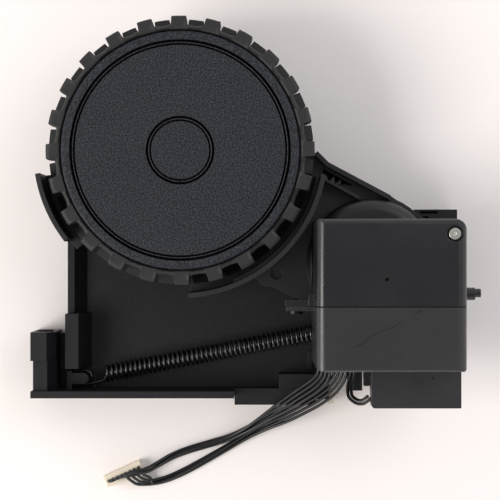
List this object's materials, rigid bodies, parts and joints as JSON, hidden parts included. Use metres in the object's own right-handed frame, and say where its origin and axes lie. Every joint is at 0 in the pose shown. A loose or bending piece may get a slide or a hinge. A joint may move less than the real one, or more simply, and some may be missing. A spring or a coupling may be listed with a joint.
{
  "type": "robot vacuum wheel module",
  "caption": "Sprung drive wheel module of a robot vacuum: a lugged wheel on a swinging arm with motor box, gear train, tension spring, base bracket and plugged cable.",
  "frame": {"origin": "middle of the footprint, on the back plane that the module lies on", "axes": "+X along the module from the wheel side to the motor box's side, +Y towards the wheel's road side, +Z from the back to the wheel's outer face"},
  "size_m": [0.1154, 0.1224, 0.044],
  "materials": {
    "bracket_plastic": "moulded nylon, fine grain",
    "arm_plastic": "moulded ABS, fine grain",
    "box_plastic": "moulded ABS, fine grain, light sheen",
    "cap_plastic": "moulded ABS, fine grain",
    "tyre_rubber": "moulded rubber",
    "pin_steel": "ground steel",
    "shaft_steel": "ground steel",
    "screw_steel": "zinc-plated steel",
    "black_screw": "blackened steel",
    "motor_steel": "plated steel can",
    "end_cap_nylon": "natural nylon",
    "gear_acetal": "natural acetal",
    "pinion_brass": "machined brass",
    "bush_bronze": "sintered bronze",
    "magnet_ferrite": "bonded ferrite",
    "board_laminate": "green circuit board",
    "spring_steel": "blackened spring steel",
    "wire_pvc": "PVC insulation",
    "plug_nylon": "natural nylon"
  },
  "bodies": {
    "base": {"base_bracket": "bracket_plastic", "screw_block": "bracket_plastic", "pivot_pin": "pin_steel", "cable_clip": "plug_nylon", "connector": "plug_nylon"},
    "arm": {"swing_arm": "arm_plastic", "gear_cover": "arm_plastic", "cover_screws": "screw_steel", "box_upper": "box_plastic", "box_lower": "box_plastic", "box_screw": "black_screw", "motor_can": "motor_steel", "motor_end_cap": "end_cap_nylon", "motor_screws": "screw_steel", "encoder_board": "board_laminate", "gear_pins": "shaft_steel", "front_bush": "bush_bronze", "rear_bush": "bush_bronze", "switch_lead": "wire_pvc", "tension_spring": "spring_steel", "cable_upper": "wire_pvc", "cable_lower": "wire_pvc"},
    "wheel": {"wheel_axle": "shaft_steel", "output_gear": "gear_acetal", "wheel_rim": "cap_plastic", "tyre": "tyre_rubber", "hub_cap": "cap_plastic", "axle_screw": "screw_steel"},
    "gear_one": {"first_gear": "gear_acetal"},
    "gear_two": {"second_gear": "gear_acetal"},
    "gear_three": {"third_gear": "gear_acetal"},
    "rotor": {"rotor_shaft": "shaft_steel", "motor_pinion": "pinion_brass", "encoder_magnet": "magnet_ferrite"}
  },
  "joints": [
    {"name": "arm_swing", "type": "hinge", "parent": "base", "child": "arm", "pos_m": [0.0497, -0.00483, 0.02], "axis": [0, 0, 1], "range_deg": [0, 15], "stiffness_Nm_per_rad": 0.42, "springref_deg": -51.57, "deforming": ["tension_spring", "cable_upper", "cable_lower"]},
    {"name": "wheel_spin", "type": "hinge", "parent": "arm", "child": "wheel", "pos_m": [-0.0182, 0.01617, 0.0275], "axis": [0, 0, 1], "continuous": true},
    {"name": "gear_one_spin", "type": "hinge", "parent": "arm", "child": "gear_one", "pos_m": [0.0304, -0.01192, 0.01], "axis": [0, 0, 1], "continuous": true},
    {"name": "gear_two_spin", "type": "hinge", "parent": "arm", "child": "gear_two", "pos_m": [0.0174, -0.00227, 0.01], "axis": [0, 0, 1], "continuous": true},
    {"name": "gear_three_spin", "type": "hinge", "parent": "arm", "child": "gear_three", "pos_m": [-0.00051, 0.00378, 0.01], "axis": [0, 0, 1], "continuous": true},
    {"name": "rotor_spin", "type": "hinge", "parent": "arm", "child": "rotor", "pos_m": [0.0352, -0.02293, 0.025], "axis": [0, 0, 1], "continuous": true}
  ],
  "couplings": [
    {"joint": "gear_three_spin", "follows": "wheel_spin", "ratio": -3.5},
    {"joint": "gear_two_spin", "follows": "wheel_spin", "ratio": 12.25},
    {"joint": "gear_one_spin", "follows": "wheel_spin", "ratio": -42.875},
    {"joint": "rotor_spin", "follows": "wheel_spin", "ratio": 128.62}
  ]
}
